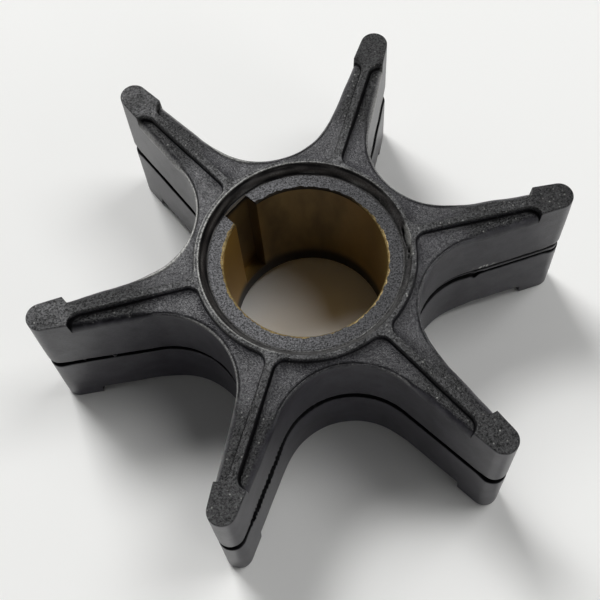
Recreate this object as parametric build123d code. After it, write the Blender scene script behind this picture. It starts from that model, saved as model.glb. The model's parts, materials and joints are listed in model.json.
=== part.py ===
from build123d import *
import os
from math import acos, atan2, cos, pi, sin, sqrt

# Rubber pump impeller: a one-piece moulded rubber star with straight radial vanes, bonded
# round a keyed metal bush. The origin is on the bore axis in the plane of the lower end
# faces, +Z runs along the bore and the first vane lies on +X. Lengths are in millimetres.

# Rubber star
vane_count = 6
overall_diameter = 68.0  # over the tips of opposite vanes
body_height = 23.0  # between the two end faces
vane_tip_radius = 1.75  # round end of a vane
vane_waist = 5.3  # thickness of a vane where the gap arcs come nearest to it

# Relief of the end faces, alike at both ends
ledge_depth = 1.1  # from the end face down to the ledges beside the ribs
ledge_edge_chamfer = 0.3  # broken edge between a ledge and the side wall
ledge_corner_radius = 1.6  # round inner corners of a ledge
ledge_width_at_gap = 1.15  # narrowest ledge, between the hub ring and the gap
rib_width = 0.9  # full-height rib along the middle of each vane
pad_length = 4.8  # full-height pad at the tip of each vane
hub_ring_width = 0.55  # full-height lip round the hub recess

# Hub recess in each end face
recess_flare = 0.8  # how far the recess wall leans out, from its floor to the lip
recess_floor_width = 0.2  # rubber flush with the bush's end face
lip_chamfer = 0.15  # worn inner edge of the lip

# Line left round the star where the mould halves met
parting_groove_height = 0.35
parting_groove_depth = 0.25

# Bush
bore_diameter = 20.0
bush_wall = 1.9
bush_recess = 1.4  # from each end face of the rubber down to the bush
bore_chamfer = 0.3
bush_edge_chamfer = 0.15
keyway_width = 3.8
keyway_depth = 1.55  # from the bore into the wall
keyway_stop = 2.8  # bush left whole below the keyway's blind lower end
keyway_angle = 125.2  # degrees from the first vane, about the bore

# Sizes that follow from the ones above
bore_radius = bore_diameter / 2
bush_radius = bore_radius + bush_wall
recess_floor_radius = bush_radius + recess_floor_width
lip_radius = recess_floor_radius + recess_flare
ring_radius = lip_radius + hub_ring_width
web_radius = ring_radius + ledge_width_at_gap
tip_reach = overall_diameter / 2
tip_centre = tip_reach - vane_tip_radius
pad_start = tip_reach - pad_length
half_pitch = pi / vane_count
gap_radius = (web_radius * sin(half_pitch) - vane_waist / 2) / (1 - sin(half_pitch))
gap_centre = web_radius + gap_radius
past_the_flank = 3 * vane_tip_radius  # how far the plan of a ledge runs on beyond its vane
same_place = 1e-3  # what is closer than this counts as the same point or radius


def polar(radius, angle):
    """The point at a distance from the axis and an angle from +X, in radians."""
    return Vector(radius * cos(angle), radius * sin(angle))


def mirrored(point):
    """The point's image in the middle line of the gap that follows the first vane."""
    return polar(point.length, 2 * half_pitch - atan2(point.Y, point.X))


def star_outline():
    """Plan of the star: round tips and concave gaps joined by straight, tapering flanks."""
    tip = Vector(tip_centre, 0)
    gap = polar(gap_centre, half_pitch)
    across = gap - tip
    # The flank is the line that touches both the tip circle and the gap circle from
    # opposite sides, so its normal makes this angle with the line between their centres.
    lean = acos((vane_tip_radius + gap_radius) / across.length)
    normal_angle = atan2(across.Y, across.X) - lean
    normal = polar(1, normal_angle)
    tip_end = tip + normal * vane_tip_radius
    gap_start = gap - normal * gap_radius
    tip_start = Vector(tip_end.X, -tip_end.Y)
    gap_middle = polar(web_radius, half_pitch)
    edges = []
    for i in range(vane_count):
        turn = Rot(0, 0, 360 / vane_count * i)
        edges += [
            turn * ThreePointArc(tip_start, (tip_reach, 0), tip_end),
            turn * Line(tip_end, gap_start),
            turn * ThreePointArc(gap_start, gap_middle, mirrored(gap_start)),
            turn * Line(mirrored(gap_start), mirrored(tip_end)),
        ]
    return make_face(Wire([edge.edge() for edge in edges]))


def ledge_pocket():
    """Plan of one ledge: between two ribs, outside the hub ring and short of the tip pads."""
    half_rib = rib_width / 2
    hub_corner = Vector(sqrt(ring_radius**2 - half_rib**2), half_rib)
    pad_corner = Vector(pad_start, half_rib)
    outer_corner = Vector(pad_start, half_rib + past_the_flank)
    hub_middle = polar(ring_radius, half_pitch)
    pocket = make_face(
        Wire(
            [
                edge.edge()
                for edge in (
                    ThreePointArc(mirrored(hub_corner), hub_middle, hub_corner),
                    Line(hub_corner, pad_corner),
                    Line(pad_corner, outer_corner),
                    Line(outer_corner, mirrored(outer_corner)),
                    Line(mirrored(outer_corner), mirrored(pad_corner)),
                    Line(mirrored(pad_corner), mirrored(hub_corner)),
                )
            ]
        )
    )
    inner_corners = [hub_corner, pad_corner, mirrored(hub_corner), mirrored(pad_corner)]
    corners = [
        vertex
        for vertex in pocket.vertices()
        if any((Vector(vertex) - corner).length < same_place for corner in inner_corners)
    ]
    return fillet(corners, ledge_corner_radius)


def end_edges(solid):
    """The edges round the highest and the lowest face of a solid."""
    faces = solid.faces().sort_by(Axis.Z)
    return faces[0].edges() + faces[-1].edges()


def hub_hole():
    """Space for the bush, with a flared recess down to each of its ends."""
    half_section = Polyline(
        (0, 0),
        (lip_radius, 0),
        (recess_floor_radius, bush_recess),
        (bush_radius, bush_recess),
        (bush_radius, body_height - bush_recess),
        (recess_floor_radius, body_height - bush_recess),
        (lip_radius, body_height),
        (0, body_height),
        close=True,
    )
    return revolve(Plane.XZ * make_face(half_section), Axis.Z)


def parting_groove(star):
    """Shallow groove round the side walls at mid-height."""
    band = offset(star, parting_groove_depth) - offset(star, -parting_groove_depth)
    low = (body_height - parting_groove_height) / 2
    return Pos(0, 0, low) * extrude(band, parting_groove_height)


def rubber_body():
    """The star up to its ledges, its full-height relief, the hub hole and the groove."""
    star = star_outline()
    pockets = PolarLocations(0, vane_count) * ledge_pocket()
    core = Pos(0, 0, ledge_depth) * extrude(star, body_height - 2 * ledge_depth)
    core = chamfer(end_edges(core), ledge_edge_chamfer)
    relief = extrude(star - pockets, body_height)
    body = core + relief - hub_hole() - parting_groove(star)
    rings = body.edges().filter_by(GeomType.CIRCLE)
    lips = [ring for ring in rings if abs(ring.radius - lip_radius) < same_place]
    return chamfer(lips, lip_chamfer)


def hub_bush():
    """Plain bush with broken edges and a keyway that is open at the upper end only."""
    length = body_height - 2 * bush_recess
    bush = Cylinder(bush_radius, length) - Cylinder(bore_radius, length)
    ends = bush.edges().filter_by(GeomType.CIRCLE).group_by(SortBy.RADIUS)
    bush = chamfer(ends[0], bore_chamfer)
    outer = bush.edges().filter_by(GeomType.CIRCLE).group_by(SortBy.RADIUS)[-1]
    bush = chamfer(outer, bush_edge_chamfer)
    reach = bore_radius + keyway_depth
    slot = Pos(reach / 2, 0, keyway_stop) * Box(reach, keyway_width, length)
    bush = bush - Rot(0, 0, keyway_angle) * slot
    return Pos(0, 0, body_height / 2) * bush


os.makedirs("parts", exist_ok=True)
export_step(rubber_body(), "parts/rubber_body.step")
export_step(hub_bush(), "parts/hub_bush.step")
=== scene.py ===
import json
from math import atan2, ceil, cos, pi, radians, sin, sqrt
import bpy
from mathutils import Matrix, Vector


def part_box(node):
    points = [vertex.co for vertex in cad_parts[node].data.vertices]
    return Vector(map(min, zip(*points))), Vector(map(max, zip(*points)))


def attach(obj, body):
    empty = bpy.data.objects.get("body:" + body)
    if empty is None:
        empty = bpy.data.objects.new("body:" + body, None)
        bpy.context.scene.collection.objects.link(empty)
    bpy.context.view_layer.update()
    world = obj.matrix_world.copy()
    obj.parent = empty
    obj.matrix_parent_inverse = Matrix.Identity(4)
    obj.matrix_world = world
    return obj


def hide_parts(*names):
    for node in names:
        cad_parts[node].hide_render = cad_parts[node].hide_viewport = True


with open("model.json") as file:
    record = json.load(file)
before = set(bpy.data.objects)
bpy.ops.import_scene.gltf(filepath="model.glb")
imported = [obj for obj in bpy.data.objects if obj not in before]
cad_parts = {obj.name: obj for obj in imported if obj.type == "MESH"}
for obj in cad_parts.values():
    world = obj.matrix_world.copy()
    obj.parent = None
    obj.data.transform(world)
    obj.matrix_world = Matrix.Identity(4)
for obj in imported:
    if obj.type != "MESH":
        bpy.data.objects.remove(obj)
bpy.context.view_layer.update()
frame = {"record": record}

from types import SimpleNamespace

import bmesh
import bpy
import numpy as np
from bpy.props import FloatProperty, FloatVectorProperty, IntProperty, PointerProperty
from mathutils import Quaternion, Vector, noise
from mathutils.geometry import delaunay_2d_cdt

bl_info = {
    "name": "Rubber pump impeller",
    "version": (1, 0, 0),
    "blender": (4, 5, 0),
    "location": "View3D > Sidebar > Impeller",
    "description": "Moulded rubber star and blasted brass bush of a flexible-vane pump impeller",
    "category": "Add Mesh",
}

# Everything is in metres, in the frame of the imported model: the bore axis is Z, the lower
# end face is z = 0 and the first vane lies on +X.
MM = 0.001

BODY = "root"
RUBBER_NODE = "rubber_body"
BUSH_NODE = "hub_bush"
star_low, star_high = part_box(RUBBER_NODE)
bush_low, bush_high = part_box(BUSH_NODE)
BORE = next(mount for mount in frame["record"]["mounts"] if mount["name"] == "drive_bore")
BORE_RADIUS = BORE["dims"]["r_mm"] * MM


def srgb(code):
    """Linear red, green and blue of an sRGB hex colour such as #3a3b3c."""
    shares = [int(code[i:i + 2], 16) / 255 for i in (1, 3, 5)]
    return tuple(c / 12.92 if c <= 0.04045 else ((c + 0.055) / 1.055) ** 2.4 for c in shares)


def smooth_step(value, start, stop):
    """0 before start, 1 after stop and a soft ramp between them."""
    t = np.clip((value - start) / (stop - start), 0, 1)
    return t * t * (3 - 2 * t)


def bump(value, centre, width):
    """A soft round hump of height 1 about centre."""
    return np.exp(-(((value - centre) / width) ** 2))


def facing(turn, middle):
    """1 at one turn about the bore axis, 0 opposite it and a soft change between."""
    return 0.5 + 0.5 * np.cos(turn - middle)


def rotation(angle):
    """The matrix that turns points of the plan by an angle."""
    return np.array([[cos(angle), -sin(angle)], [sin(angle), cos(angle)]])


def roughly(points, grain, seed):
    """Smooth noise between about -1 and 1 at each point, with waves about grain across."""
    shift = Vector((seed * 7.13, seed * 3.71, seed * 5.37))
    return np.array([noise.noise(Vector(p) / grain + shift) for p in points])


# Sizes and colours that a user would change


def length_property(name, description, millimetres):
    """A length that a user can change."""
    return FloatProperty(name=name, description=description, default=millimetres * MM, unit="LENGTH")


def colour_property(name, description, code):
    """A colour that a user can change, with its default as a hex code."""
    return FloatVectorProperty(name=name, description=description, default=srgb(code), subtype="COLOR")


class StarSizes(bpy.types.PropertyGroup):
    """Sizes of the moulded rubber star."""

    vanes: IntProperty(name="Vanes", description="Number of vanes", default=6)
    tip_radius: length_property("Tip radius", "Round end of a vane", 1.75)
    waist: length_property("Vane waist", "Vane thickness between the gaps", 5.3)
    ledge_depth: length_property("Ledge depth", "From an end face down to the ledges", 1.1)
    ledge_corner: length_property("Ledge corner", "Radius of a ledge's inner corners", 1.6)
    ledge_width: length_property("Ledge width", "Narrowest ledge, at the gap", 1.15)
    ledge_rise: length_property("Ledge rise", "Climb of a ledge to the rib near the hub", 0.5)
    flank_rounding: length_property("Flank rounding", "Ledge's outer edge along a flank", 1.05)
    gap_rounding: length_property("Gap rounding", "Outer edge of a ledge round a gap", 0.32)
    pad_rounding: length_property("Pad rounding", "Rounded edge of a tip pad", 0.14)
    rib_width: length_property("Rib width", "Rib along the middle of a vane", 0.9)
    pad_length: length_property("Pad length", "Full-height pad at a vane's tip", 4.6)
    ring_width: length_property("Ring width", "Lip round the hub recess", 0.55)
    recess_flare: length_property("Recess flare", "How far the recess wall leans out", 0.8)
    recess_floor: length_property("Recess floor", "Rubber flush with the bush's end", 0.2)


class BushSizes(bpy.types.PropertyGroup):
    """Sizes of the bush that its box and its bore don't give."""

    key_width: length_property("Key width", "Between the keyway's sides", 3.8)
    key_depth: length_property("Key depth", "From the bore to the keyway's floor", 1.55)
    key_stop: length_property("Key stop", "Bush left whole below the keyway", 2.8)
    key_angle: FloatProperty(
        name="Key angle", description="From the first vane", default=radians(125.2), unit="ROTATION"
    )
    bore_chamfer: length_property("Bore chamfer", "Broken edges of the bore", 0.26)
    outer_chamfer: length_property("Outer chamfer", "Broken outer edges", 0.06)


class MouldMarks(bpy.types.PropertyGroup):
    """Marks that the mould left on the rubber."""

    groove_depth: length_property("Parting groove depth", "Depth of the parting line", 0.5)
    groove_width: length_property("Parting groove width", "Width on the flanks", 1.35)
    tip_groove_width: length_property("Groove width at tips", "Width round the tips", 1.85)
    waviness: length_property("Waviness", "Unevenness of the moulded walls", 0.05)


class Finishes(bpy.types.PropertyGroup):
    """Colours of the rubber and the bush."""

    rubber_wall: colour_property("Rubber wall", "Smooth moulded side walls", "#1d1b24")
    rubber_end: colour_property("Rubber end face", "Grained end faces", "#131314")
    # painted sheen: this pale colour is real bloom near the hub and also a painted sheen on the side toward
    # the lamps and on the pads there
    rubber_bloom_and_sheen: colour_property("Rubber bloom", "Pale bloom on the end faces near the hub", "#4a4a4b")
    rubber_recess: colour_property("Rubber recess", "Wall of the hub recess", "#262220")
    # painted shade: this near-black colour is dirt in the grooves and also the painted shade at rib feet, in
    # creases, tears and grooves and on shaded pads, webs and flanks
    rubber_dirt_and_shade: colour_property("Rubber groove", "Dirt in the grooves", "#0c0c0d")
    # painted highlight: this pale colour is wear, and also the painted highlights on edges, crests and
    # shoulders that face the lamps
    rubber_worn: colour_property("Worn rubber", "Pale scuffed edges", "#cfcfca")
    rubber_dust: colour_property("Dust", "Light specks in the grain", "#9a9a96")
    bush_end: colour_property("Bush end face", "Blasted grey metal", "#5c5c5e")
    bore: colour_property("Bore", "Amber-brown metal of the bore", "#6d5a36")
    bore_polish: colour_property("Bore polish", "Golden metal where the key side is rubbed", "#c49c50")
    # painted highlight: this pale bare-metal colour is laid on the bore's upper edge except on the far side,
    # on the side that faces the lamps
    bush_edge_bare_and_highlit: colour_property("Bush edge", "Bare metal at the edge", "#a89868")
    # painted shade: a near-black colour laid low in the bore, on the far rim and on the keyway's upper edge,
    # where shade falls
    bore_painted_shade: colour_property("Bore stain", "Dark band low in the bore", "#141210")


class StageSettings(bpy.types.PropertyGroup):
    """Floor, lamps and camera."""

    floor: colour_property("Floor", "Pale studio floor", "#f4f4f2")
    floor_size: FloatProperty(name="Floor size", description="Side of the floor", default=1.8, unit="LENGTH")
    horizon: FloatProperty(name="Horizon", description="Brightness of the horizon", default=0.9)
    ceiling: FloatProperty(name="Ceiling", description="Brightness of the ceiling", default=0.05)
    azimuth: FloatProperty(
        name="Azimuth", description="Camera's turn about the bore", default=radians(-11.574), unit="ROTATION"
    )
    elevation: FloatProperty(
        name="Elevation", description="Camera's height as an angle", default=radians(64.166), unit="ROTATION"
    )
    roll: FloatProperty(
        name="Roll", description="Camera's turn about its sight line", default=radians(-2.76), unit="ROTATION"
    )
    distance: length_property("Distance", "From the aim to the camera", 150.936)
    aim: FloatVectorProperty(
        name="Aim", description="Point that the camera looks at", subtype="TRANSLATION",
        default=(3.308 * MM, 3.856 * MM, 11.5 * MM),
    )
    focal_length: FloatProperty(name="Focal length", description="In mm, on a 36 mm sensor", default=68.97)
    shift: FloatVectorProperty(
        name="Shift", description="Shift of the lens, right and up", size=2, default=(-0.04323, -0.06321)
    )


# Plan of the star


def star_plan(sizes):
    """Points and radii of the star's plan and of the relief on its ends, from the driving sizes."""
    plan = SimpleNamespace()
    taken = ("vanes", "tip_radius", "ledge_depth", "ledge_rise")
    for name in taken + ("flank_rounding", "gap_rounding", "pad_rounding"):
        setattr(plan, name, getattr(sizes, name))
    plan.half_pitch = pi / sizes.vanes
    plan.height = star_high.z - star_low.z
    plan.reach = star_high.x
    plan.half_rib = sizes.rib_width / 2
    plan.corner = sizes.ledge_corner
    plan.pad_start = plan.reach - sizes.pad_length
    plan.bush = bush_high.x
    plan.recess = star_high.z - bush_high.z
    plan.floor = plan.bush + sizes.recess_floor
    plan.lip = plan.floor + sizes.recess_flare
    plan.ring = plan.lip + sizes.ring_width
    plan.web = plan.ring + sizes.ledge_width
    rise = sin(plan.half_pitch)
    plan.gap_radius = (plan.web * rise - sizes.waist / 2) / (1 - rise)
    plan.tip = np.array([plan.reach - plan.tip_radius, 0])
    plan.gap = (plan.web + plan.gap_radius) * np.array([cos(plan.half_pitch), rise])
    across = plan.gap - plan.tip
    # the flank touches the tip circle and the gap circle from opposite sides
    lean = np.arccos((plan.tip_radius + plan.gap_radius) / np.hypot(*across))
    angle = atan2(across[1], across[0]) - lean
    plan.normal, plan.along = rotation(angle).T
    plan.normal_angle = angle
    hub_centre_y = plan.half_rib + plan.corner
    plan.hub_corner = np.array([sqrt((plan.ring + plan.corner) ** 2 - hub_centre_y**2), hub_centre_y])
    plan.pad_corner = np.array([plan.pad_start - plan.corner, hub_centre_y])
    return plan


def folded(plan, x, y):
    """A point's place in the half pitch beside the first vane, which holds for all of them."""
    pitch = 2 * plan.half_pitch
    angle = np.abs((np.arctan2(y, x) + plan.half_pitch) % pitch - plan.half_pitch)
    radius = np.hypot(x, y)
    return radius * np.cos(angle), radius * np.sin(angle), radius


def past_flank(plan, u, v):
    """How far a folded point is past the hub end of the straight flank, toward the gap's middle."""
    return (u - plan.gap[0]) * plan.along[0] + (v - plan.gap[1]) * plan.along[1]


def outline_distance(plan, u, v):
    """How far inside the star's outline a folded point is."""
    from_tip = (u - plan.tip[0]) * plan.along[0] + v * plan.along[1]
    from_gap = past_flank(plan, u, v)
    flank = plan.tip_radius - (u - plan.tip[0]) * plan.normal[0] - v * plan.normal[1]
    tip = plan.tip_radius - np.hypot(u - plan.tip[0], v)
    gap = np.hypot(u - plan.gap[0], v - plan.gap[1]) - plan.gap_radius
    return np.where(from_tip < 0, tip, np.where(from_gap > 0, gap, flank))


def ledge_distance(plan, u, v):
    """How far inside a ledge's inner edge a folded point is, negative on the rib, ring and pad."""
    straight = np.minimum(v - plan.half_rib, plan.pad_start - u)
    straight = np.minimum(straight, np.hypot(u, v) - plan.ring)
    pad, hub = plan.pad_corner, plan.hub_corner
    round_pad = plan.corner - np.hypot(u - pad[0], v - pad[1])
    round_hub = plan.corner - np.hypot(u - hub[0], v - hub[1])
    at_pad = (u > pad[0]) & (v < pad[1])
    at_hub = (u < hub[0]) & (v * hub[0] < u * hub[1]) & ~at_pad
    return np.where(at_pad, round_pad, np.where(at_hub, round_hub, straight))


def steepest(plan, points, distance):
    """The direction at points of the plan in which a distance from an edge grows fastest."""
    step = 0.01 * MM

    def inside(x, y):
        u, v, _ = folded(plan, x, y)
        return distance(plan, u, v)

    x, y = points.T
    slope_x = inside(x + step, y) - inside(x - step, y)
    slope_y = inside(x, y + step) - inside(x, y - step)
    slope = np.column_stack([slope_x, slope_y])
    return slope / (np.hypot(slope_x, slope_y)[:, None] + 1e-12)


def arc(centre, radius, start, stop, spacing):
    """Points along an arc, about spacing apart on a radius of at least a millimetre."""
    count = max(2, ceil(abs(stop - start) * max(radius, MM) / spacing))
    turn = np.linspace(start, stop, count + 1)
    return np.column_stack([centre[0] + radius * np.cos(turn), centre[1] + radius * np.sin(turn)])


def line(start, stop, spacing):
    """Points along a straight line."""
    start, stop = np.asarray(start, float), np.asarray(stop, float)
    count = max(1, ceil(np.hypot(*(stop - start)) / spacing))
    return start + (stop - start) * np.linspace(0, 1, count + 1)[:, None]


def joined(*stretches):
    """Stretches that meet end to end, as one row of points."""
    return np.concatenate([stretches[0]] + [s[1:] for s in stretches[1:]])


def outline_row(plan, inset, spacing):
    """Half a pitch of the star's outline, moved in by inset."""
    tip_radius, gap_radius = plan.tip_radius - inset, plan.gap_radius + inset
    tip_end = plan.tip + plan.normal * tip_radius
    gap_start = plan.gap - plan.normal * gap_radius
    start, stop = plan.normal_angle + pi, plan.half_pitch + pi
    return joined(
        arc(plan.tip, tip_radius, 0, plan.normal_angle, spacing),
        line(tip_end, gap_start, spacing),
        arc(plan.gap, gap_radius, start, stop, spacing),
    )


def ledge_row(plan, inset, spacing):
    """Half a pitch of a ledge's inner edge, moved in by inset, from beyond the pad's flank."""
    pad, hub, radius = plan.pad_corner, plan.hub_corner, plan.corner - inset
    hub_angle = atan2(hub[1], hub[0])
    edge_x, edge_y = plan.pad_start - inset, plan.half_rib + inset
    return joined(
        line((edge_x, pad[1] + 2 * plan.tip_radius), (edge_x, pad[1]), spacing),
        arc(pad, radius, 0, -pi / 2, spacing),
        line((pad[0], edge_y), (hub[0], edge_y), 2 * spacing),
        arc(hub, radius, -pi / 2, hub_angle - pi, spacing),
        arc((0, 0), plan.ring + inset, hub_angle, plan.half_pitch, spacing),
    )


# Rows of points in millimetres: in from the outline, in from a ledge's inner edge, out from the lip
OUTLINE_INSETS = (0, 0.02, 0.06, 0.12, 0.19, 0.26, 0.33, 0.4, 0.5, 0.64, 0.8)
LEDGE_INSETS = (-0.12, -0.05, -0.01, 0.03, 0.07, 0.11, 0.15, 0.2, 0.28)
LIP_STEPS = (-0.7, -0.58, -0.46, -0.35, -0.25, -0.16, -0.08, -0.03, 0.03, 0.08, 0.14, 0.2, 0.26, 0.34)


def grid_points(plan, spacing):
    """Points between the rows, which carry the slow waves of the faces."""
    x, y = np.meshgrid(np.arange(plan.lip, plan.reach, spacing), np.arange(0, plan.web, spacing))
    x = (x + spacing / 2 * (np.arange(x.shape[0])[:, None] % 2)).ravel()
    y = y.ravel()
    clear = spacing * 0.7
    keep = (np.arctan2(y, x) < plan.half_pitch) & (y > clear)
    keep &= x * sin(plan.half_pitch) - y * cos(plan.half_pitch) > clear
    keep &= outline_distance(plan, x, y) > OUTLINE_INSETS[-1] * MM + clear / 2
    keep &= np.hypot(x, y) > plan.ring
    keep &= np.abs(ledge_distance(plan, x, y)) > clear
    return np.column_stack([x[keep], y[keep]])


def half_pitch_mesh(plan):
    """Points and triangles of half a pitch of the plan, with rows of points along every edge."""
    fine, coarse = 0.22 * MM, 0.6 * MM
    rows = [outline_row(plan, inset * MM, fine) for inset in OUTLINE_INSETS]
    rows += [ledge_row(plan, inset * MM, fine) for inset in LEDGE_INSETS]
    radii = [plan.bush, plan.bush + 0.08 * MM, plan.floor - 0.05 * MM, plan.floor + 0.03 * MM]
    radii += [plan.lip + step * MM for step in LIP_STEPS]
    rows += [arc((0, 0), radius, 0, plan.half_pitch, 1.3 * fine) for radius in radii]
    ray = np.array([cos(plan.half_pitch), sin(plan.half_pitch)])
    rows.append(line((plan.bush, 0), (plan.reach, 0), coarse))
    rows.append(line(plan.bush * ray, plan.web * ray, coarse))
    points, edges = [], []
    for row in rows:
        edges += [(len(points) + i, len(points) + i + 1) for i in range(len(row) - 1)]
        points += [Vector(p) for p in row / MM]
    points += [Vector(p) for p in grid_points(plan, coarse) / MM]
    corners, _, triangles, *_ = delaunay_2d_cdt(points, edges, [], 0, 1e-5)
    corners = np.array([tuple(c) for c in corners]) * MM
    triangles = np.array(list(triangles))
    a, b, c = (corners[triangles[:, i]] for i in range(3))
    middle = (a + b + c) / 3
    area = ((b - a)[:, 0] * (c - a)[:, 1] - (b - a)[:, 1] * (c - a)[:, 0]) / 2
    turn = np.arctan2(middle[:, 1], middle[:, 0])
    keep = (outline_distance(plan, *middle.T) > 0) & (np.hypot(*middle.T) > plan.bush * cos(0.02))
    keep &= (turn > 0) & (turn < plan.half_pitch) & (np.abs(area) > 1e-6 * MM * MM)
    return corners, triangles[keep]


def whole_plan_mesh(plan):
    """Points and triangles of the whole plan, welded from turned and mirrored half pitches."""
    corners, triangles = half_pitch_mesh(plan)
    mesh = bmesh.new()
    for i in range(plan.vanes):
        for side in (1, -1):
            placed = corners * (1, side) @ rotation(2 * plan.half_pitch * i).T
            verts = [mesh.verts.new((x, y, 0)) for x, y in placed]
            for triangle in triangles:
                mesh.faces.new([verts[j] for j in triangle[::side]])
    bmesh.ops.remove_doubles(mesh, verts=mesh.verts, dist=0.002 * MM)
    loose = [v for v in mesh.verts if not v.link_faces]
    bmesh.ops.delete(mesh, geom=loose, context="VERTS")
    mesh.verts.index_update()
    points = np.array([v.co.xy for v in mesh.verts])
    faces = np.array([[v.index for v in f.verts] for f in mesh.faces])
    mesh.free()
    return points, faces


def border_loops(faces):
    """The borders of a mesh of triangles, each as a list of point numbers in order."""
    sides = {(int(f[i]), int(f[(i + 1) % 3])) for f in faces for i in range(3)}
    following = {a: b for a, b in sides if (b, a) not in sides}
    loops = []
    while following:
        start, point = following.popitem()
        loop = [start]
        while point != start:
            loop.append(point)
            point = following.pop(point)
        loops.append(loop)
    return sorted(loops, key=len, reverse=True)


# Rubber moulding


TEARS = (
    # azimuth, half length, radius, half width and depth, in degrees and millimetres
    (-1.5, 6.3, 12.55, 0.21, 1.2),
    (-11.0, 1.1, 12.7, 0.18, 0.9),
    (-13.8, 1.2, 12.62, 0.19, 0.9),
)


def tears(points):
    """Depth of the tears in the upper hub lip at points of the plan."""
    turn = np.degrees(np.arctan2(points[:, 1], points[:, 0]))
    radius = np.hypot(*points.T)
    depth = np.zeros(len(points))
    for azimuth, half_length, tear_radius, half_width, deep in TEARS:
        along = np.clip(1 - ((turn - azimuth) / half_length) ** 2, 0, 1)
        across = np.abs(radius - tear_radius * MM) / (half_width * MM * np.sqrt(along) + 1e-9)
        depth += deep * MM * smooth_step(-across, -1.3, -0.7) * (along > 0)
    return depth


# Where the marks of moulding and use, the painted shade, the painted sheen and the painted highlights are
# strongest, as turns about the bore axis
RECESS_SHADED_SIDE = radians(115)
SHEEN_TURN = radians(150)
SCUFFS_AND_HIGHLIGHTS = radians(155)
PAD_SHADE = radians(20)
WEB_SHADE = radians(-90)
WEB_EDGE_SHADE = radians(-150)
FLANK_SHADE = radians(-175)

# Where what lies along a vane starts and ends, as distances from the axis
LEDGE_RISE_FADE = (14 * MM, 25 * MM)
BLOOM_FADE = (14.5 * MM, 20.5 * MM)
PAD_SHEEN_RAMP = (27 * MM, 29 * MM)
PAD_SHADE_RAMP = (28 * MM, 29 * MM)


def end_places(plan, points, upper):
    """What both the relief and the finish of an end face follow, at points of the plan."""
    at = SimpleNamespace()
    at.u, v, at.radius = folded(plan, *points.T)
    at.turn = np.arctan2(points[:, 1], points[:, 0])
    at.edge = outline_distance(plan, at.u, v)
    at.inner = ledge_distance(plan, at.u, v)
    at.out = -steepest(plan, points, outline_distance)
    at.behind, at.left = points[:, 1] > 0, points[:, 0] < 0
    at.far_side = facing(at.turn, RECESS_SHADED_SIDE)
    at.scuffed_side = facing(at.turn, SCUFFS_AND_HIGHLIGHTS)

    # slow and fine unevenness, other at each end, and streaks round the recess wall
    at.flat = np.column_stack([points, np.full(len(points), float(upper))])
    at.uneven = roughly(at.flat, 2.2 * MM, 8)
    at.fine = roughly(at.flat, 0.7 * MM, 9)
    at.streak = roughly(np.column_stack([6 * at.radius, 0.5 * points]), 1.2 * MM, 11)
    at.torn = tears(points) * upper
    at.beside_tears = tears(points * (1 - 0.3 * MM / at.radius)[:, None]) * upper

    # the zones of an end face, each as a share, and how round its outer edge is there
    at.in_gap = in_gap = smooth_step(past_flank(plan, at.u, v), -2 * MM, 1.5 * MM)
    at.ledge = smooth_step(at.inner, -0.04 * MM, 0.2 * MM)
    at.web = in_gap * at.ledge
    at.on_flank = at.ledge * (1 - in_gap)
    at.in_recess = smooth_step(-at.radius, -plan.lip - 0.03 * MM, -plan.lip + 0.03 * MM)
    soft = plan.flank_rounding + (plan.gap_rounding - plan.flank_rounding) * in_gap
    at.rounding = plan.pad_rounding + (soft * (1 + 0.25 * at.uneven) - plan.pad_rounding) * at.ledge
    return at


def add_lines(plan, at):
    """Adds the fine lines of an end face, which show in its relief and in its finish."""
    # painted shade: the dark lines at the lip and at the recess floor are wider on the far side of the recess
    wide = (0.06 + 0.1 * at.far_side) * MM
    at.lip_line = bump(at.radius, plan.lip - (0.07 + 0.06 * at.far_side) * MM, wide)
    at.lip_line *= 0.7 + 0.3 * at.uneven
    at.crest = bump(at.radius, plan.lip + 0.11 * MM, 0.08 * MM)
    at.crest *= smooth_step(at.uneven + 2 * at.far_side, -0.2, 1)
    at.floor_line = bump(at.radius, plan.floor, (0.07 + 0.1 * at.far_side) * MM)
    at.broad = 0.16 * MM * smooth_step(at.out[:, 1], 0.3, 0.9) * at.left
    at.crease = at.web * bump(at.edge, 0.33 * MM + at.broad, 0.08 * MM)
    at.crease *= smooth_step(at.uneven, -0.8, 0)
    # painted highlight: the rounded shoulder of a flank that faces the lamps, which the wear-and-highlight
    # share makes pale
    lit_side = smooth_step(-at.out[:, 0], 0.3, 0.9) * at.left * (0.5 + 0.5 * at.behind)
    lit_side += smooth_step(at.out[:, 0], 0.3, 0.9) * at.behind
    at.shoulder = at.on_flank * lit_side * (1 - smooth_step(at.edge, 0.05 * MM, 0.6 * at.rounding))


def end_drop(plan, at):
    """Depth below an end face: ledges, hub recess, rounded edges, tears, fine lines and waves."""
    short = np.clip(at.rounding - at.edge, 0, at.rounding)
    rounded = at.rounding - np.sqrt(at.rounding**2 - short**2)
    slope = plan.recess / (plan.lip - plan.floor)
    inward = np.minimum(plan.lip - at.radius, plan.lip - plan.floor) * slope
    recess = (inward + np.hypot(inward, 0.05 * MM)) / 2
    recess = np.where(at.radius > plan.ring, 0, recess)
    wave = 0.03 * MM * np.abs(roughly(at.flat, 7 * MM, 5)) * smooth_step(at.radius, plan.bush, plan.lip)
    near_hub = 1 - smooth_step(at.u, *LEDGE_RISE_FADE)
    climb = plan.ledge_rise * near_hub * np.exp(-np.maximum(at.inner, 0) / (0.6 * MM))
    drop = at.ledge * (plan.ledge_depth - climb) + recess + rounded + at.torn + wave
    return drop + MM * (0.08 * at.lip_line + 0.12 * at.crease + 0.06 * at.floor_line - 0.05 * at.crest)


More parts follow.
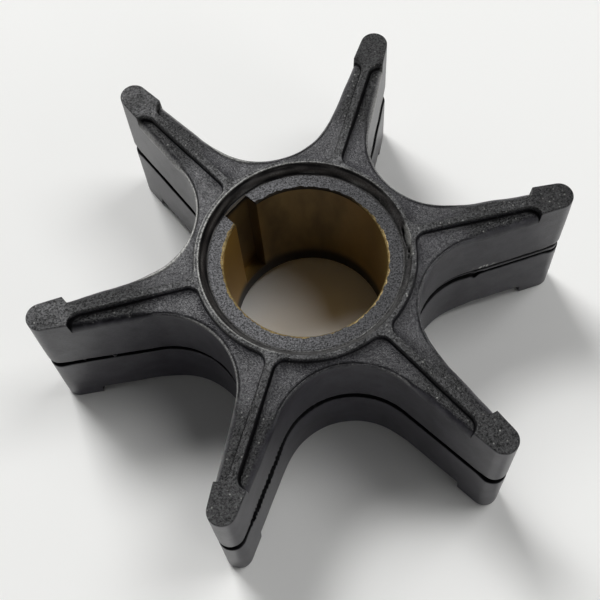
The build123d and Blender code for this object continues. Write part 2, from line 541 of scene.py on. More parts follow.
def end_dirt_and_shade(at, foot):
    """Share of dirt and painted shade: painted shade at the foot of the ribs, in the lines and tears, on the
    pads on one side, on the front webs and their edges and along the flanks, and dirt in streaks on the
    recess wall.
    """
    # painted shade: a dark band along the outer edge of each flank ledge, strongest on one vane, stands in
    # for the dark reflected there
    shaded_flank = sum(bump(at.turn, FLANK_SHADE + lap, radians(14)) for lap in (0, 2 * pi))
    flank_shade = at.on_flank * bump(at.edge, 0.42 * MM, 0.26 * MM)
    flank_shade *= smooth_step(at.uneven + at.fine, -0.9, 0.3)
    flank_shade = 0.7 * flank_shade * shaded_flank + 0.25 * at.on_flank * (0.7 + 0.3 * at.uneven)
    # painted shade: the pads on one side, the front webs and the web edges that face the front are darkened
    # where less light falls
    pads = facing(at.turn, PAD_SHADE) ** 2 * smooth_step(at.u, *PAD_SHADE_RAMP) * (1 - at.ledge)
    front_web = bump(at.turn, WEB_SHADE, radians(25)) * at.web
    web_edge_shade = bump(at.turn, WEB_EDGE_SHADE, radians(28)) * at.web * smooth_step(-at.out[:, 1], 0.2, 0.7)
    # painted shade in the corners, lines and tears, and on shaded pads, webs and flanks, with the dirt
    # streaks of the recess wall
    dirt_and_shade = 0.95 * foot + at.lip_line + 0.9 * at.crease + at.floor_line + at.torn / (0.4 * MM)
    dirt_and_shade += 0.3 * pads + 0.35 * front_web + flank_shade * (1 - at.shoulder)
    dirt_and_shade += 0.55 * at.in_recess * smooth_step(at.streak, -0.1, 0.4)
    dirt_and_shade += 0.6 * web_edge_shade * (1 - smooth_step(at.edge, 0.2 * MM, 0.36 * MM))
    return np.clip(dirt_and_shade, 0, 1)


def end_wear_and_highlights(plan, at):
    """Share of pale wear and painted highlights: painted highlights with some wear on gap edges, on the hub
    ring and its crest, strongest on the side toward the lamps, on lit shoulders, a painted reflection on the
    near side of the recess wall, and wear in streaks on the recess wall and beside the tears.
    """
    sideways = np.abs(at.out[:, 0]) + 0.6 * at.scuffed_side**4 * at.behind + 0.1 * at.uneven
    front_right = smooth_step(at.out[:, 0], 0.2, 0.8) * ~at.behind
    # painted highlight: pale lines along the gap edges and the hub ring, strongest on the side toward the
    # lamps
    worn = at.web * bump(at.edge, 0.12 * MM + at.broad, 0.09 * MM + at.broad / 3)
    worn *= smooth_step(sideways, 0.4, 0.9) * (0.3 + 0.7 * at.scuffed_side**6) * (1 - 0.8 * front_right)
    worn += 0.6 * bump(at.radius, plan.ring - 0.02 * MM, 0.08 * MM) * at.scuffed_side**6 * at.in_gap
    worn += 0.45 * at.shoulder * (0.8 + 0.2 * at.uneven)
    worn += at.crest * (0.12 + 0.8 * at.scuffed_side**2)
    # painted reflection: the near side of the recess wall is made paler
    worn += 0.15 * at.in_recess * (1 - at.far_side) ** 2 * (0.6 + 0.4 * at.fine)
    worn += 0.1 * at.in_recess * smooth_step(-at.streak, 0.15, 0.6)
    return worn + 0.3 * smooth_step(at.beside_tears, 0.1 * MM, 0.5 * MM)


def end_finish(plan, at):
    """Shares of grain, bloom with painted sheen, recess colour, dirt with painted shade and wear with painted
    highlights on an end face.
    """
    # painted shade: a dark line at the foot of each rib, pad and ring, wider where the wall faces +X
    shaded = 0.08 * MM * smooth_step(steepest(plan, at.flat[:, :2], ledge_distance)[:, 0], 0.4, 0.9)
    foot = smooth_step(at.inner + shaded, 0.05 * MM, 0.13 * MM)
    foot *= 1 - smooth_step(at.inner - shaded / 2, 0.16 * MM, (0.27 + 0.04 * at.uneven) * MM)
    foot *= 1 - 0.3 * at.in_gap * smooth_step(-at.radius, -15 * MM, -13.5 * MM)
    # painted sheen: the bloom is made strongest toward one side, and the pads on that side are made pale,
    # where the lamps' sheen falls
    sheen_side = facing(at.turn, SHEEN_TURN)
    bloom_and_sheen = 1 - smooth_step(at.radius + 1.2 * MM * at.uneven, *BLOOM_FADE)
    bloom_and_sheen *= 0.3 + 0.75 * sheen_side
    bloom_and_sheen += 0.9 * sheen_side**4 * (1 - at.ledge) * smooth_step(at.u, *PAD_SHEEN_RAMP)
    smooth_web = at.web * (0.45 + 0.15 * at.uneven)
    fade = at.rounding * (0.25 + 0.2 * at.fine + 0.25 * at.on_flank)
    grain = smooth_step(at.edge, 0.5 * fade, 1.6 * fade)
    grain *= 1 - at.in_recess * (0.3 + 0.7 * at.far_side)
    return {
        "bloom_and_sheen": bloom_and_sheen,
        "worn": end_wear_and_highlights(plan, at),
        "grain": grain * (1 - foot) * (1 - smooth_web),
        "recess": at.in_recess * np.clip(0.25 + 1.2 * at.far_side, 0, 1),
        "dirt_and_shade": end_dirt_and_shade(at, foot),
    }


def end_relief(plan, points, upper):
    """Depth below an end face at points of the plan, and its finish there."""
    at = end_places(plan, points, upper)
    add_lines(plan, at)
    return end_drop(plan, at), end_finish(plan, at)


# Where the groove's marks lie along a vane, as distances from the axis, and what sizes they have
LUMP_AT = 21.8 * MM
RIDGE_RAMP = (21.5 * MM, 23 * MM)
KNOBS_AT = (25.8 * MM, 29.6 * MM)
CRUMBS_AT = 22.8 * MM
CRUMBS_LIFT = 1.3 * MM
TOOTH_PITCH = 0.62 * MM
LEAST_HALF_GROOVE = 0.22 * MM

GROOVE_MARKS = {
    # vane, counted anticlockwise from +X, and whether the mark is on its leading wall
    "toothed": (4, True),
    "wide": (1, False),
    "ridged": (0, False),
    "knobbed": (3, True),
}


def groove_shape(plan, points, marks):
    """Half-width, depth, middle, mid ridge and torn share of the parting groove on the outline."""
    u, v, _ = folded(plan, *points.T)
    flat = np.column_stack([points, np.zeros(len(points))])
    at_tip = smooth_step(u, plan.tip[0] - 1.2 * MM, plan.tip[0] + 0.4 * MM)
    turn = np.arctan2(points[:, 1], points[:, 0])
    vane = np.round(turn / (2 * plan.half_pitch)) % plan.vanes
    leading = np.sin(turn - vane * 2 * plan.half_pitch) > 0
    toothed, wide, ridged, knobbed = (
        (vane == number) & (leading == leads) for number, leads in GROOVE_MARKS.values()
    )
    side = smooth_step(v, 0, plan.tip_radius)
    side *= smooth_step(plan.half_pitch - np.arctan2(v, u), 0, radians(8))
    flank = side * (1 - 0.85 * smooth_step(past_flank(plan, u, v), -3 * MM, 2 * MM))
    teeth = toothed * (at_tip < 0.5) * smooth_step(plan.reach - u, 2 * MM, 5 * MM)
    torn = flank * teeth
    along = np.cumsum(np.hypot(*(np.roll(points, -1, 0) - points).T))
    saw = np.sin(2 * pi * along / TOOTH_PITCH + 2.5 * roughly(flat, 1.5 * MM, 4))
    saw *= 1 + 0.6 * roughly(flat, 2 * MM, 17)
    lump = ridged * bump(u, LUMP_AT, 0.4 * MM)

    half = marks.groove_width / 2 + (marks.tip_groove_width - marks.groove_width) / 2 * at_tip
    half *= 1 + 0.16 * roughly(flat, 2.5 * MM, 2) + 0.08 * roughly(flat, 0.7 * MM, 1)
    half += torn * MM * (0.45 * saw + 0.4 * roughly(flat, 0.5 * MM, 4) + 0.8)
    half += 0.9 * MM * flank * wide * (1 + 0.8 * roughly(flat, 3 * MM, 13))
    half += side * (0.16 * MM * ridged - 0.32 * half * knobbed) + 0.35 * MM * lump
    depth = marks.groove_depth * (0.9 + 0.3 * at_tip)
    middle = 0.08 * MM * roughly(flat, 6 * MM, 3) - 0.35 * MM * lump
    middle += 0.1 * MM * teeth * roughly(flat, 0.8 * MM, 6)
    knobs = bump(u, KNOBS_AT[0], 0.28 * MM) + 0.7 * bump(u, KNOBS_AT[1], 0.25 * MM)
    ridge = ridged * side * (0.4 + 0.5 * smooth_step(u, *RIDGE_RAMP))
    ridge += knobbed * (knobs + 0.35 * side * bump(u, 22 * MM, 5 * MM))
    return np.maximum(half, LEAST_HALF_GROOVE), depth, middle, np.clip(ridge, 0, 1), torn


# Plain rows of a wall, as shares of the way to a margin beside the groove
WALL_SHARES = (0.02, 0.07, 0.16, 0.3, 0.45, 0.6, 0.75, 0.88)
WALL_MARGIN = 0.4 * MM
GROOVE_EDGE = (
    # height above the groove's edge in millimetres, share of its depth and share of dirt and painted shade
    (0.8, 0, 0), (0.55, 0, 0.02), (0.3, 0, 0.08), (0.12, 0.01, 0.25),
    (0.05, 0.06, 0.6), (0, 0.25, 1), (-0.04, 0.6, 1), (-0.1, 0.95, 1),
)


def wall_rows(plan, marks, outline, high, low):
    """Rows of height, push and dirt with painted shade down a side wall, from the upper end to the lower one.
    """
    half, depth, middle, ridge, torn = groove_shape(plan, outline, marks)
    centre = plan.height / 2 + middle
    none = np.zeros(len(outline))
    above, below = centre + half + WALL_MARGIN, centre - half - WALL_MARGIN
    upper = [(high + (above - high) * share, none, none) for share in WALL_SHARES]
    for lift, inset, dirt_and_shade in GROOVE_EDGE:
        # painted shade: a soft dark smear beside the torn stretch of the groove
        smear = 0.85 * torn * smooth_step(-lift, -0.5, -0.1)
        upper.append((centre + half + lift * MM, none - inset * depth, np.maximum(dirt_and_shade, smear)))
    upper.append((centre + half * (0.35 + 0.2 * ridge), none - depth, none + 1))
    crest = -depth * (1 - ridge)
    upper.append((centre + half * (0.2 + 0.12 * ridge), crest * 0.97, 1 - 0.2 * ridge))
    upper.append((centre + half * (0.1 + 0.07 * ridge), crest * 0.95, 1 - 0.95 * ridge))
    lower = [(2 * centre - z, push, dirt_and_shade) for z, push, dirt_and_shade in reversed(upper[len(WALL_SHARES):])]
    lower += [(low + (below - low) * share, none, none) for share in reversed(WALL_SHARES)]
    return upper + lower


def band(upper, lower):
    """Faces between two closed rings of point numbers."""
    count = len(upper)
    return [(upper[(i + 1) % count], upper[i], lower[i], lower[(i + 1) % count]) for i in range(count)]


def moulding(plan, marks):
    """Points, faces and finish of the whole rubber star."""
    plan_points, triangles = whole_plan_mesh(plan)
    loops = border_loops(triangles)
    if len(loops) != 2:
        raise RuntimeError(f"the star's plan has {len(loops)} borders, and it needs 2")
    rim, hub = loops
    count = len(plan_points)
    drop, finish = end_relief(plan, plan_points, True)
    drop_below, finish_below = end_relief(plan, plan_points, False)
    top, bottom = plan.height - drop, drop_below
    points = [np.column_stack([plan_points, top]), np.column_stack([plan_points, bottom])]
    finish = {key: [values, finish_below[key]] for key, values in finish.items()}
    faces = [tuple(t) for t in triangles] + [tuple(t[::-1] + count) for t in triangles]

    outline = plan_points[rim]
    normal = -steepest(plan, outline, outline_distance)
    u, v, _ = folded(plan, *outline.T)
    turn = np.arctan2(outline[:, 1], outline[:, 0])
    crumbs = bump(u, CRUMBS_AT, 1.1 * MM) * ((turn < 0) & (turn > -plan.half_pitch))
    rings = [list(rim)]
    for z, push, dirt_and_shade in wall_rows(plan, marks, outline, top[rim], bottom[rim]):
        layer = np.column_stack([outline, z])
        inner_part = smooth_step(top[rim] - z, 0, 2 * MM) * smooth_step(z - bottom[rim], 0, 2 * MM)
        push = push + marks.waviness * inner_part * roughly(layer, 9 * MM, 7)
        layer[:, :2] += normal * push[:, None]
        start = sum(len(p) for p in points)
        points.append(layer)
        for key in ("grain", "recess", "bloom_and_sheen"):
            finish[key].append(np.zeros(len(rim)))
        sprinkled = smooth_step(roughly(layer, 0.45 * MM, 12), 0.02, 0.2)
        finish["worn"].append(2 * crumbs * sprinkled * bump(z, plan.height / 2 + CRUMBS_LIFT, 0.3 * MM))
        finish["dirt_and_shade"].append(dirt_and_shade)
        rings.append(list(range(start, start + len(rim))))
    rings.append([i + count for i in rim])
    for upper, lower in zip(rings, rings[1:]):
        faces += band(upper, lower)
    faces += band(hub, [i + count for i in hub])
    finish = {key: np.concatenate(values) for key, values in finish.items()}
    return np.concatenate(points), faces, finish


def place(name, data):
    """A new object with its data, in the scene."""
    placed = bpy.data.objects.new(name, data)
    bpy.context.scene.collection.objects.link(placed)
    return placed


def make_piece(name, points, faces, materials, attributes):
    """A smooth-shaded mesh object with its materials and its values for each point."""
    mesh = bpy.data.meshes.new(name)
    mesh.from_pydata([tuple(p) for p in points], [], faces)
    for key, values in attributes.items():
        attribute = mesh.attributes.new(key, "FLOAT", "POINT")
        attribute.data.foreach_set("value", np.asarray(values, np.float32))
    mesh.validate()
    mesh.shade_smooth()
    for material in materials:
        mesh.materials.append(material)
    return place(name, mesh)


# Materials


def add_node(tree, kind, inputs=None, **settings):
    """Adds a node with its settings and with a link or a value on each named input."""
    node = tree.nodes.new(kind)
    for key, value in settings.items():
        setattr(node, key, value)
    for socket, value in (inputs or {}).items():
        if isinstance(value, bpy.types.NodeSocket):
            tree.links.new(value, node.inputs[socket])
        else:
            node.inputs[socket].default_value = value
    return node


def new_material(name):
    """An empty node material, with its tree and its output node."""
    material = bpy.data.materials.new(name)
    material.use_nodes = True
    material.node_tree.nodes.clear()
    return material, material.node_tree, add_node(material.node_tree, "ShaderNodeOutputMaterial")


def grained(tree, where, lightest):
    """Grain as pits and peaks about 0.2 mm across: its noise and how far that lightens a colour."""
    fine = add_node(tree, "ShaderNodeTexNoise", {
        "Vector": where, "Scale": 1 / (0.22 * MM), "Detail": 2.0, "Roughness": 0.75,
    }).outputs["Fac"]
    contrast = add_node(tree, "ShaderNodeMapRange", {
        "Value": fine, "From Min": 0.36, "From Max": 0.64, "To Min": 0.2, "To Max": lightest,
    }).outputs["Result"]
    return fine, contrast


def moulded_rubber(colours):
    """Moulded nitrile rubber: grained end faces with light dust, satin side walls."""
    material, tree, output = new_material("nitrile_rubber_moulded")
    where = add_node(tree, "ShaderNodeTexCoord").outputs["Object"]
    grain, bloom_and_sheen, recess, dirt_and_shade, worn = (
        add_node(tree, "ShaderNodeAttribute", attribute_name=name).outputs["Fac"]
        for name in ("grain", "bloom_and_sheen", "recess", "dirt_and_shade", "worn")
    )
    fine, contrast = grained(tree, where, 2.4)
    blotch = add_node(tree, "ShaderNodeTexNoise", {
        "Vector": where, "Scale": 1 / (2.6 * MM), "Detail": 3.0, "Roughness": 0.6,
    }).outputs["Fac"]
    # the pale bloom and the painted sheen lie in blotches
    patchy = add_node(tree, "ShaderNodeMapRange", {
        "Value": blotch, "From Min": 0.36, "From Max": 0.64, "To Min": 0.2, "To Max": 1.1,
    }).outputs["Result"]
    bloom_and_sheen_patches = add_node(tree, "ShaderNodeMath", {0: bloom_and_sheen, 1: patchy}, operation="MULTIPLY").outputs[0]
    end = add_node(tree, "ShaderNodeMix", {
        0: bloom_and_sheen_patches, 6: (*colours.rubber_end, 1), 7: (*colours.rubber_bloom_and_sheen, 1),
    }, data_type="RGBA").outputs[2]
    end = add_node(tree, "ShaderNodeVectorMath", {0: end, "Scale": contrast}, operation="SCALE").outputs[0]
    mottle = add_node(tree, "ShaderNodeMapRange", {
        "Value": blotch, "From Min": 0.3, "From Max": 0.7, "To Min": 0.75, "To Max": 1.25,
    }).outputs["Result"]
    wall = add_node(tree, "ShaderNodeVectorMath", {
        0: colours.rubber_wall[:], "Scale": mottle,
    }, operation="SCALE").outputs[0]
    base = add_node(tree, "ShaderNodeMix", {0: grain, 6: wall, 7: end}, data_type="RGBA").outputs[2]

    # the wear-and-highlight share broken up by the grain: wear and painted highlights
    rubbed = add_node(tree, "ShaderNodeMapRange", {
        "Value": fine, "From Min": 0.36, "From Max": 0.6, "To Min": 0.3,
    }).outputs["Result"]
    rubbed = add_node(tree, "ShaderNodeMath", {0: rubbed, 1: worn}, operation="MULTIPLY").outputs[0]
    # specks of light dust, each well under half a millimetre
    cells = add_node(tree, "ShaderNodeTexVoronoi", {"Vector": where, "Scale": 1 / (0.55 * MM)})
    speck = add_node(tree, "ShaderNodeMapRange", {
        "Value": cells.outputs["Distance"], "From Min": 0.26, "From Max": 0.1,
    }).outputs["Result"]
    seldom = add_node(tree, "ShaderNodeSeparateColor", {"Color": cells.outputs["Color"]}).outputs["Red"]
    chosen = add_node(tree, "ShaderNodeMapRange", {
        "Value": seldom, "From Min": 0.55, "To Max": 0.75,
    }).outputs["Result"]
    speck = add_node(tree, "ShaderNodeMath", {0: speck, 1: chosen}, operation="MULTIPLY").outputs[0]
    speck = add_node(tree, "ShaderNodeMath", {0: speck, 1: grain}, operation="MULTIPLY").outputs[0]
    # the dirt-and-shade share lays painted shade and the wear-and-highlight share lays painted highlights
    # into the colour
    for share, colour in (
        (recess, colours.rubber_recess),
        (dirt_and_shade, colours.rubber_dirt_and_shade),
        (rubbed, colours.rubber_worn),
        (speck, colours.rubber_dust),
    ):
        base = add_node(tree, "ShaderNodeMix", {
            0: share, 6: base, 7: (*colour, 1),
        }, data_type="RGBA").outputs[2]

    # dirt in the pits and the dirt-and-shade share in the grooves take the gloss away, and the walls have
    # less relief
    gloss = add_node(tree, "ShaderNodeMapRange", {
        "Value": fine, "From Min": 0.38, "From Max": 0.62, "To Min": 0.2, "To Max": 0.8,
    }).outputs["Result"]
    smear = add_node(tree, "ShaderNodeMapRange", {
        "Value": blotch, "From Min": 0.3, "From Max": 0.7, "To Min": 0.36, "To Max": 0.64,
    }).outputs["Result"]
    rough, grain_gloss, deep = (
        add_node(tree, "ShaderNodeMapRange", {
            "Value": grain, "To Min": wall_value, "To Max": end_value,
        }).outputs["Result"]
        for wall_value, end_value in ((0.34, 0.42), (0.22, 1.0), (0.12, 1.0))
    )
    gloss = add_node(tree, "ShaderNodeMix", {0: grain_gloss, 2: smear, 3: gloss}).outputs[0]
    gloss = add_node(tree, "ShaderNodeMix", {0: dirt_and_shade, 2: gloss, 3: 0.04}).outputs[0]
    relief = add_node(tree, "ShaderNodeMath", {0: fine, 1: deep}, operation="MULTIPLY").outputs[0]
    bumped = add_node(tree, "ShaderNodeBump", {
        "Height": relief, "Strength": 1.0, "Distance": 0.15 * MM,
    }).outputs["Normal"]
    shader = add_node(tree, "ShaderNodeBsdfPrincipled", {
        "Base Color": base, "Roughness": rough, "Normal": bumped, "IOR": 1.5, "Specular IOR Level": gloss,
    })
    tree.links.new(shader.outputs["BSDF"], output.inputs["Surface"])
    return material


def blasted_brass(colours):
    """Brass blasted to a matt grey for the rubber bond: granular, hardly reflecting."""
    material, tree, output = new_material("brass_blasted")
    where = add_node(tree, "ShaderNodeTexCoord").outputs["Object"]
    fine, contrast = grained(tree, where, 2.1)
    # darker towards one side of the blasted end
    darker_side_share = add_node(tree, "ShaderNodeAttribute", attribute_name="darker_side_share").outputs["Fac"]
    side_lightness = add_node(tree, "ShaderNodeMapRange", {
        "Value": darker_side_share, "To Min": 1.0, "To Max": 0.55,
    }).outputs["Result"]
    contrast = add_node(tree, "ShaderNodeMath", {0: contrast, 1: side_lightness}, operation="MULTIPLY").outputs[0]
    colour = add_node(tree, "ShaderNodeVectorMath", {
        0: colours.bush_end[:], "Scale": contrast,
    }, operation="SCALE").outputs[0]
    bumped = add_node(tree, "ShaderNodeBump", {
        "Height": fine, "Strength": 1.0, "Distance": 0.15 * MM,
    }).outputs["Normal"]
    shader = add_node(tree, "ShaderNodeBsdfPrincipled", {
        "Base Color": colour, "Metallic": 0.4, "Roughness": 0.7, "Normal": bumped,
    })
    tree.links.new(shader.outputs["BSDF"], output.inputs["Surface"])
    return material


def tarnished_brass(colours):
    """Turned brass: tarnished olive brown, with painted shade low in the bore and bare metal at the rubbed
    edge, which is also a painted highlight.
    """
    material, tree, output = new_material("brass_turned_tarnished")
    where = add_node(tree, "ShaderNodeTexCoord").outputs["Object"]
    bore_shade_share, edge, polish = (
        add_node(tree, "ShaderNodeAttribute", attribute_name=name).outputs["Fac"]
        for name in ("bore_shade_share", "edge", "polish")
    )
    streak = add_node(tree, "ShaderNodeMapping", {"Vector": where, "Scale": (1, 1, 0.35)}).outputs["Vector"]
    cloud = add_node(tree, "ShaderNodeTexNoise", {
        "Vector": streak, "Scale": 1 / (2.2 * MM), "Detail": 3.0,
    }).outputs["Fac"]
    contrast = add_node(tree, "ShaderNodeMapRange", {
        "Value": cloud, "From Min": 0.3, "From Max": 0.7, "To Min": 0.7, "To Max": 1.3,
    }).outputs["Result"]
    colour = add_node(tree, "ShaderNodeVectorMath", {
        0: colours.bore[:], "Scale": contrast,
    }, operation="SCALE").outputs[0]
    # crumbs of bare metal along the rubbed edge, about a quarter of a millimetre across
    crumbs = add_node(tree, "ShaderNodeTexNoise", {
        "Vector": where, "Scale": 1 / (0.3 * MM), "Detail": 1.0,
    }).outputs["Fac"]
    bare = add_node(tree, "ShaderNodeMapRange", {
        "Value": crumbs, "From Min": 0.42, "From Max": 0.6,
    }).outputs["Result"]
    bare = add_node(tree, "ShaderNodeMath", {0: bare, 1: edge}, operation="MULTIPLY").outputs[0]
    # painted shade low in the bore and on the far rim, and bare metal with a painted highlight on the edge
    for share, over in (
        (polish, colours.bore_polish), (bore_shade_share, colours.bore_painted_shade), (bare, colours.bush_edge_bare_and_highlit),
    ):
        colour = add_node(tree, "ShaderNodeMix", {
            0: share, 6: colour, 7: (*over, 1),
        }, data_type="RGBA").outputs[2]
    metal = add_node(tree, "ShaderNodeMapRange", {
        "Value": edge, "To Min": 0.8, "To Max": 0.3,
    }).outputs["Result"]
    shader = add_node(tree, "ShaderNodeBsdfPrincipled", {
        "Base Color": colour, "Metallic": metal, "Roughness": 0.42,
    })
    tree.links.new(shader.outputs["BSDF"], output.inputs["Surface"])
    return material


# Bush


# Turns about the bore axis: the polished side, the side where the blasted end is darker and where the edge
# gets painted shade
POLISHED = radians(178)
DARKER_SIDE = radians(-10)
SHADED_EDGE = radians(85)


def bush_contour(sizes):
    """Plan of the bore with its keyway, and which of its points are on the keyway's floor."""
    half_key, key_floor = sizes.key_width / 2, BORE_RADIUS + sizes.key_depth
    edge_turn = np.arcsin(half_key / BORE_RADIUS)
    edge_x = BORE_RADIUS * cos(edge_turn)
    round_step, side_step, floor_step = 0.25 * MM, 0.3 * MM, 0.4 * MM
    contour = joined(
        arc((0, 0), BORE_RADIUS, edge_turn, 2 * pi - edge_turn, round_step),
        line((edge_x, -half_key), (key_floor, -half_key), side_step),
        line((key_floor, -half_key), (key_floor, half_key), floor_step),
        line((key_floor, half_key), (edge_x, half_key), side_step),
    )[:-1]
    on_floor = np.hypot(*contour.T) > key_floor - 0.01 * MM
    return contour @ rotation(sizes.key_angle).T, on_floor


def bush_section(sizes, wall, stop):
    """Rows round the wall: depth into it, height and share of the upper edge's bare metal with its painted
    highlight.
    """
    low, high = bush_low.z, bush_high.z
    chamfer, outer = sizes.bore_chamfer, sizes.outer_chamfer
    clear = 0.02 * MM
    rows = [(0, z, 0) for z in np.linspace(low + 1.1 * chamfer, stop - clear, 5)]
    rows += [(0, z, 0) for z in np.linspace(stop + clear, high - 1.3 * chamfer, 24)]
    rows += [(0, high - chamfer, 0.3), (0.35 * chamfer, high - 0.4 * chamfer, 1), (chamfer, high, 0.4)]
    rows += [(share * wall, high, 0) for share in (0.25, 0.4, 0.6, 0.8)]
    rows += [(wall - outer, high, 0), (wall, high - outer, 0), (wall, low + outer, 0), (wall - outer, low, 0)]
    rows += [(share * wall, low, 0) for share in (0.8, 0.6, 0.4, 0.25)]
    return rows + [(chamfer, low, 0), (0.4 * chamfer, low + 0.35 * chamfer, 0), (0, low + chamfer, 0)]


def bush_mesh(plan, sizes):
    """Points, faces, each face's material, the bare edge with its painted highlight and the painted shade on
    the far rim of the bush.
    """
    wall, stop = plan.bush - BORE_RADIUS, bush_low.z + sizes.key_stop
    inner, in_key = bush_contour(sizes)
    turn = np.arctan2(inner[:, 1], inner[:, 0])
    circle = np.column_stack([np.cos(turn), np.sin(turn)])
    outer, whole = circle * plan.bush, circle * BORE_RADIUS
    columns = len(inner)
    flat = np.column_stack([inner, np.zeros(columns)])
    ragged = roughly(flat, 0.5 * MM, 14) + 0.6 * roughly(flat, 1.6 * MM, 15)
    near_edge = smooth_step(1 - facing(turn, SHADED_EDGE), 0.1, 0.4)
    section = bush_section(sizes, wall, stop)
    chamfer, high = sizes.bore_chamfer, bush_high.z
    points, faces, metals, edge, edge_shade = [], [], [], [], []
    for depth, z, bare in section:
        contour = whole if z < stop else inner
        depths = depth * np.clip(1 + 0.8 * ragged * (bare > 0), 0.35, 1.7)
        layer = contour + (outer - contour) * depths[:, None] / wall
        points.append(np.column_stack([layer, np.full(columns, z)]))
        # bare metal with a painted highlight on the upper edge, away from the shaded far side
        edge.append(bare * near_edge * ~in_key)
        # painted shade on the far side of the upper edge and on the keyway's upper edge
        edge_shade.append((bare > 0) * (1 - near_edge) + in_key * (z > high - 2 * chamfer))
    for i, (depth, z, _) in enumerate(section):
        j = (i + 1) % len(section)
        next_depth, _, next_bare = section[j]
        in_bore = depth < chamfer and (next_depth < chamfer or 0 < next_bare < 1)
        key_edge = in_key & np.roll(in_key, -1) & (z > high - chamfer)
        faces += band(range(j * columns, (j + 1) * columns), range(i * columns, (i + 1) * columns))
        metals += [int(in_bore or on_edge) for on_edge in key_edge]
    return np.concatenate(points), faces, metals, np.concatenate(edge), np.concatenate(edge_shade)


def bush_finish(points, edge, edge_shade):
    """Shares of painted shade low in the bore and on the far rim, bare edge with painted highlight, polish
    and darkening to one side on the bush.
    """
    height = points[:, 2] - bush_low.z
    turn = np.arctan2(points[:, 1], points[:, 0])
    in_keyway = np.hypot(*points[:, :2].T) > BORE_RADIUS + 0.1 * MM
    # painted shade: darker towards the bottom of the bore, less in the keyway, and on the shaded rim
    bore_shade_share = (1 - 0.7 * in_keyway) * (1 - smooth_step(height, 2 * MM, 4.2 * MM)) + 0.95 * edge_shade
    polish = smooth_step(np.cos(turn - POLISHED), 0.3, 0.9) + 0.4 * smooth_step(np.cos(turn), 0.4, 1)
    polish *= (1 - 0.9 * in_keyway * (height > 3 * MM)) * (1 - 0.8 * np.clip(edge, 0, 1))
    darker_side_share = smooth_step(np.cos(turn - DARKER_SIDE), -0.6, 0.8)
    return {"bore_shade_share": bore_shade_share, "edge": edge, "polish": polish, "darker_side_share": darker_side_share}


# Operators


class IMPELLER_OT_rubber_star(bpy.types.Operator):
    """Makes the moulded rubber star that stands for the plain solid"""

    bl_idname = "impeller.rubber_star"
    bl_label = "Rubber star"

    def execute(self, context):
        scene = context.scene
        plan = star_plan(scene.impeller_star)
        points, faces, finish = moulding(plan, scene.impeller_marks)
        rubber = moulded_rubber(scene.impeller_finishes)
        star = make_piece("rubber_star", points, faces, [rubber], finish)
        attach(star, BODY)
        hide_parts(RUBBER_NODE)
        return {"FINISHED"}


class IMPELLER_OT_bush(bpy.types.Operator):
    """Makes the keyed bush with its blasted ends and tarnished bore"""

    bl_idname = "impeller.bush"
    bl_label = "Hub bush"

    def execute(self, context):
        scene = context.scene
        plan = star_plan(scene.impeller_star)
        points, faces, metals, edge, edge_shade = bush_mesh(plan, scene.impeller_bush)
        colours = scene.impeller_finishes
        materials = [blasted_brass(colours), tarnished_brass(colours)]
        finish = bush_finish(points, edge, edge_shade)
        bush = make_piece("keyed_bush", points, faces, materials, finish)
        bush.data.polygons.foreach_set("material_index", metals)
        bush.data.set_sharp_from_angle(angle=radians(35))
        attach(bush, BODY)
        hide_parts(BUSH_NODE)
        return {"FINISHED"}


HORIZON_TOP, CEILING_EDGE = radians(12), radians(28)
LAMP_DISTANCE = 1.2
LAMPS = {
    # azimuth and elevation in degrees, width in metres and level
    "back_lamp": {"azimuth": 111, "elevation": 48, "width": 0.5, "level": 0.36},
    "high_lamp": {"azimuth": 110, "elevation": 58, "width": 0.3, "level": 0.35},
    "side_lamp": {"azimuth": 10, "elevation": 62, "width": 0.5, "level": 0.32},
    "low_lamp": {"azimuth": -50, "elevation": 22, "width": 0.5, "level": 0.11},
}


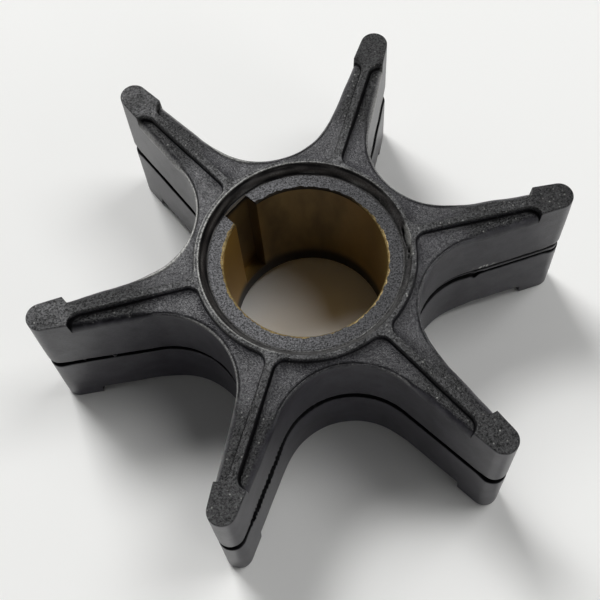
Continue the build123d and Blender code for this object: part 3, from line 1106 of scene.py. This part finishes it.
class IMPELLER_OT_stage(bpy.types.Operator):
    """Sets up the floor, the lamps, the surroundings and the camera"""

    bl_idname = "impeller.stage"
    bl_label = "Stage"

    def execute(self, context):
        settings = context.scene.impeller_stage
        self.floor(settings)
        self.surroundings(settings)
        for name, lamp in LAMPS.items():
            self.lamp(name, **lamp)
        self.camera(context.scene, settings)
        context.scene.view_settings.view_transform = "Standard"
        return {"FINISHED"}

    def floor(self, settings):
        """Matt white paint, even and without shine, which is the background and takes the shadows."""
        half = settings.floor_size / 2
        corners = [(x * half, y * half, 0) for x, y in ((-1, -1), (1, -1), (1, 1), (-1, 1))]
        mesh = bpy.data.meshes.new("studio_floor")
        mesh.from_pydata(corners, [], [(0, 1, 2, 3)])
        material, tree, output = new_material("painted_floor_matt")
        matt = add_node(tree, "ShaderNodeBsdfDiffuse", {"Color": (*settings.floor, 1)}).outputs[0]
        tree.links.new(matt, output.inputs["Surface"])
        mesh.materials.append(material)
        floor = place("studio_floor", mesh)

    def surroundings(self, settings):
        """A pale horizon below a dim ceiling."""
        world = bpy.data.worlds.new("studio")
        world.use_nodes = True
        tree = world.node_tree
        tree.nodes.clear()
        direction = add_node(tree, "ShaderNodeTexCoord").outputs["Generated"]
        height = add_node(tree, "ShaderNodeSeparateXYZ", {"Vector": direction}).outputs["Z"]
        strength = add_node(tree, "ShaderNodeMapRange", {
            "Value": height, "From Min": sin(HORIZON_TOP), "From Max": sin(CEILING_EDGE),
            "To Min": settings.horizon, "To Max": settings.ceiling,
        }, interpolation_type="SMOOTHSTEP").outputs["Result"]
        background = add_node(tree, "ShaderNodeBackground", {"Strength": strength})
        output = add_node(tree, "ShaderNodeOutputWorld")
        tree.links.new(background.outputs[0], output.inputs["Surface"])
        bpy.context.scene.world = world

    def lamp(self, name, azimuth, elevation, width, level):
        """A square soft lamp that points at the object; level 1 lights white paint that faces it as white."""
        turn, rise = radians(azimuth), radians(elevation)
        toward = Vector((cos(turn) * cos(rise), sin(turn) * cos(rise), sin(rise)))
        data = bpy.data.lights.new(name, "AREA")
        data.size = width
        data.energy = level * (pi * LAMP_DISTANCE) ** 2
        lamp = place(name, data)
        lamp.location = toward * LAMP_DISTANCE
        lamp.rotation_euler = toward.to_track_quat("Z", "Y").to_euler()

    def camera(self, scene, settings):
        """The camera, from its aim, distance, three angles, lens and shift."""
        ahead = Vector((
            -sin(settings.azimuth) * cos(settings.elevation),
            cos(settings.azimuth) * cos(settings.elevation),
            -sin(settings.elevation),
        ))
        data = bpy.data.cameras.new("camera")
        data.lens = settings.focal_length
        data.sensor_width = 36
        data.shift_x, data.shift_y = settings.shift
        data.clip_start = 0.01
        camera = place("camera", data)
        camera.location = Vector(settings.aim) - ahead * settings.distance
        level = ahead.to_track_quat("-Z", "Y")
        camera.rotation_euler = (level @ Quaternion((0, 0, 1), settings.roll)).to_euler()
        scene.camera = camera


class IMPELLER_PT_sidebar(bpy.types.Panel):
    """Lists the impeller's pieces"""

    bl_idname = "IMPELLER_PT_sidebar"
    bl_label = "Pump impeller"
    bl_space_type = "VIEW_3D"
    bl_region_type = "UI"
    bl_category = "Impeller"

    def draw(self, context):
        for operator in OPERATORS:
            self.layout.operator(operator.bl_idname)


GROUPS = {
    "impeller_star": StarSizes,
    "impeller_bush": BushSizes,
    "impeller_marks": MouldMarks,
    "impeller_finishes": Finishes,
    "impeller_stage": StageSettings,
}
OPERATORS = (IMPELLER_OT_rubber_star, IMPELLER_OT_bush, IMPELLER_OT_stage)


def register():
    for name, group in GROUPS.items():
        bpy.utils.register_class(group)
        setattr(bpy.types.Scene, name, PointerProperty(type=group))
    for operator in OPERATORS:
        bpy.utils.register_class(operator)
    bpy.utils.register_class(IMPELLER_PT_sidebar)


def unregister():
    bpy.utils.unregister_class(IMPELLER_PT_sidebar)
    for operator in reversed(OPERATORS):
        bpy.utils.unregister_class(operator)
    for name, group in reversed(GROUPS.items()):
        delattr(bpy.types.Scene, name)
        bpy.utils.unregister_class(group)


def main():
    register()
    bpy.ops.impeller.rubber_star()
    bpy.ops.impeller.bush()
    bpy.ops.impeller.stage()


if __name__ == "__main__":
    main()
